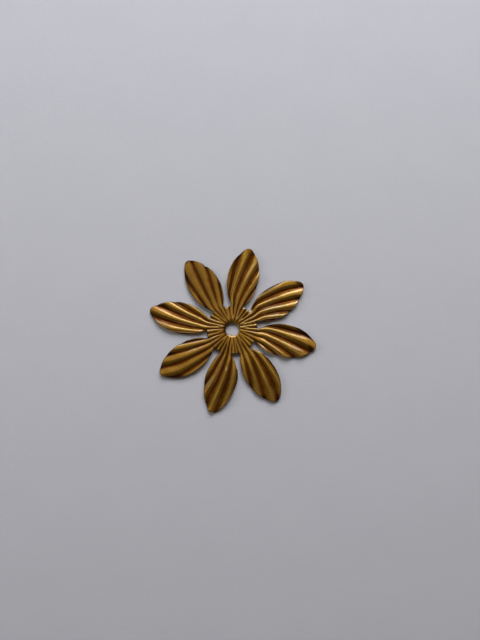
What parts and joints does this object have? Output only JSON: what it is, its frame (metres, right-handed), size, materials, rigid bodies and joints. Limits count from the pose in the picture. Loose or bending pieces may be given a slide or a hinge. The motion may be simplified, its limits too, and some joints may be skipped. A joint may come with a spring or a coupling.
{
  "type": "flower finding",
  "caption": "Stamped sheet-brass flower finding: a fluted disc with a round centre hole and ribbed leaf petals, for riveting, pinning or gluing onto jewellery.",
  "frame": {"origin": "on the axis of the centre hole, at the plane that the petals rest on", "axes": "+Z along the hole's axis, up through the ribbed face; +X and +Y point through the gaps between petals"},
  "size_m": [0.0354, 0.0354, 0.0013],
  "materials": {
    "brass": "aged raw brass, satin on the ribs and dark in the valleys"
  },
  "bodies": {
    "root": {"flower": "brass"}
  },
  "joints": []
}
